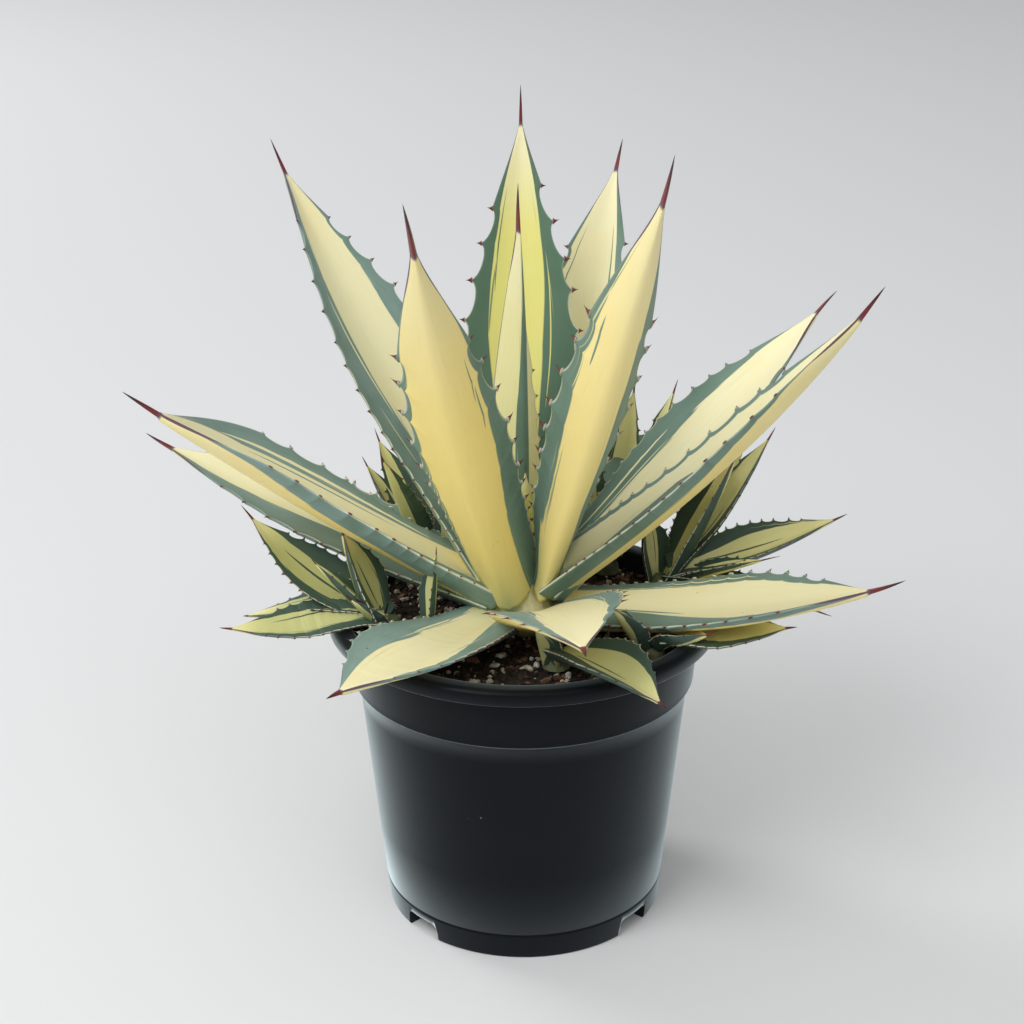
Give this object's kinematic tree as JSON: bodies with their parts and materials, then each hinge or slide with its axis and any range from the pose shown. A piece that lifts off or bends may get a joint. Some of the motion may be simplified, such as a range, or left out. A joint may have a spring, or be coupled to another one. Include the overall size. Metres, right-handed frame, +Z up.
{
  "type": "potted agave",
  "caption": "Variegated agave rosette of thick toothed leaves with offsets round its foot, in a round black nursery pot full of potting mix.",
  "frame": {"origin": "on the floor, under the middle of the plant's whole spread; the pot's axis is 17 mm to the right of it and 20 mm in front of it", "axes": "+Z up, -Y towards the front of the plant, +X to its right"},
  "size_m": [0.4792, 0.4416, 0.5342],
  "materials": {
    "leaf": "waxy cream-yellow centre with blue-grey green margins, dark red teeth and spine",
    "offset_leaf": "waxy yellow-green centre with dark green margins, small dark teeth",
    "stem": "pale fibrous stem",
    "pot_plastic": "satin black moulded plastic with light scuffs",
    "potting_mix": "dark crumbly mix with bark chips and white grains"
  },
  "bodies": {
    "root": {"back_centre_leaf": "leaf", "back_right_leaf": "leaf", "centre_spear": "leaf", "front_drooping_leaf": "leaf", "front_left_leaf": "leaf", "front_offset_leaf_1": "offset_leaf", "front_offset_leaf_2": "offset_leaf", "front_offset_leaf_3": "offset_leaf", "front_offset_stem": "stem", "front_right_leaf": "leaf", "front_right_offset_leaf_1": "offset_leaf", "front_right_offset_leaf_2": "offset_leaf", "front_right_offset_leaf_3": "offset_leaf", "front_right_offset_stem": "stem", "front_stub_leaf": "leaf", "heart_bud": "leaf", "inner_leaf": "leaf", "left_offset_leaf_1": "offset_leaf", "left_offset_leaf_2": "offset_leaf", "left_offset_leaf_3": "offset_leaf", "left_offset_leaf_4": "offset_leaf", "left_offset_leaf_5": "offset_leaf", "left_offset_leaf_6": "offset_leaf", "left_offset_stem": "stem", "left_rear_offset_leaf_1": "offset_leaf", "left_rear_offset_leaf_2": "offset_leaf", "left_rear_offset_leaf_3": "offset_leaf", "left_rear_offset_leaf_4": "offset_leaf", "left_rear_offset_leaf_5": "offset_leaf", "left_rear_offset_stem": "stem", "left_shoot_leaf_1": "offset_leaf", "left_shoot_stem": "stem", "low_left_leaf": "leaf", "low_right_leaf": "leaf", "lower_left_leaf": "leaf", "pot": "pot_plastic", "rear_leaf": "leaf", "rear_left_leaf": "leaf", "rear_right_leaf": "leaf", "right_leaf": "leaf", "right_offset_leaf_1": "offset_leaf", "right_offset_leaf_2": "offset_leaf", "right_offset_leaf_3": "offset_leaf", "right_offset_leaf_4": "offset_leaf", "right_offset_leaf_5": "offset_leaf", "right_offset_leaf_6": "offset_leaf", "right_offset_leaf_7": "offset_leaf", "right_offset_stem": "stem", "right_rear_offset_leaf_1": "offset_leaf", "right_rear_offset_leaf_2": "offset_leaf", "right_rear_offset_leaf_3": "offset_leaf", "right_rear_offset_leaf_4": "offset_leaf", "right_rear_offset_leaf_5": "offset_leaf", "right_rear_offset_stem": "stem", "soil": "potting_mix", "stem": "stem", "upper_left_leaf": "leaf", "upper_right_leaf": "leaf"}
  },
  "joints": []
}
